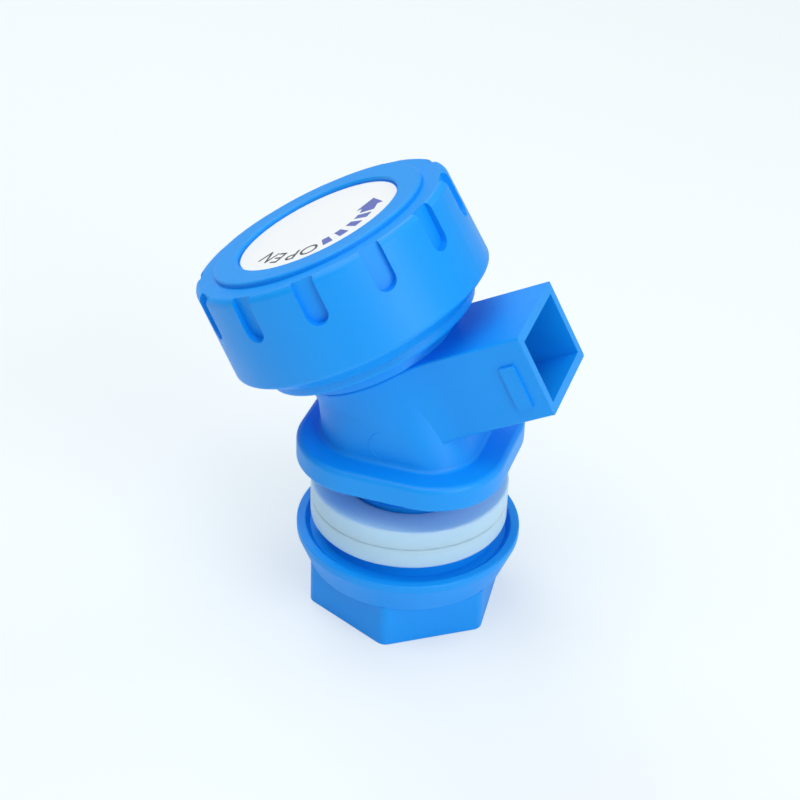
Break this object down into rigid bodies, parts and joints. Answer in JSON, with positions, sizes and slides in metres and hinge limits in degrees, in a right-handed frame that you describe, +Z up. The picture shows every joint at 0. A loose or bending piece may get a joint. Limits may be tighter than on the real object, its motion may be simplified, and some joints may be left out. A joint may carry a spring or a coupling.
{
  "type": "bag in box tap",
  "caption": "Small plastic dispensing tap: a turning knob on a tilted barrel with a square spout, and a threaded shank with washers and a hex nut that clamp it in a container wall.",
  "frame": {"origin": "centre of the shank's open lower end, level with the nut's lower face, on which the tap stands", "axes": "+Z up along the shank's axis, +X towards the spout's mouth, +Y to complete a right-handed frame; the knob's axis leans from +Z towards -X"},
  "size_m": [0.0718, 0.0526, 0.0902],
  "materials": {
    "blue_plastic": "moulded, semi gloss",
    "white_silicone": "translucent, satin",
    "label_film": "printed film, satin",
    "white_plastic": "moulded, matt",
    "seal_rubber": "satin"
  },
  "bodies": {
    "tap": {"tap_body": "blue_plastic"},
    "plunger_set": {"plunger": "white_plastic", "seat_seal": "seal_rubber", "lower_o_ring": "seal_rubber", "upper_o_ring": "seal_rubber"},
    "knob": {"knob": "blue_plastic", "knob_label": "label_film"},
    "washers": {"lower_washer": "white_silicone", "upper_washer": "white_silicone"},
    "nut": {"hex_nut": "blue_plastic"}
  },
  "joints": [
    {"name": "stem_lift", "type": "slide", "parent": "tap", "child": "plunger_set", "axis": [-0.4756, 0, 0.8796], "range_m": [0, 0.00564]},
    {"name": "knob_turn", "type": "hinge", "parent": "plunger_set", "child": "knob", "pos_m": [0, 0, 0.0423], "axis": [-0.4756, 0, 0.8796], "range_deg": [0, 450]},
    {"name": "nut_travel", "type": "slide", "parent": "tap", "child": "washers", "axis": [0, 0, 1], "range_m": [-0.00908, 0.00682]},
    {"name": "nut_turn", "type": "hinge", "parent": "washers", "child": "nut", "pos_m": [0, 0, 0], "axis": [0, 0, 1], "range_deg": [-1800, 1350]}
  ],
  "couplings": [
    {"joint": "stem_lift", "follows": "knob_turn", "m_per_rad": 0.0007162},
    {"joint": "nut_travel", "follows": "nut_turn", "m_per_rad": 0.00028876}
  ]
}
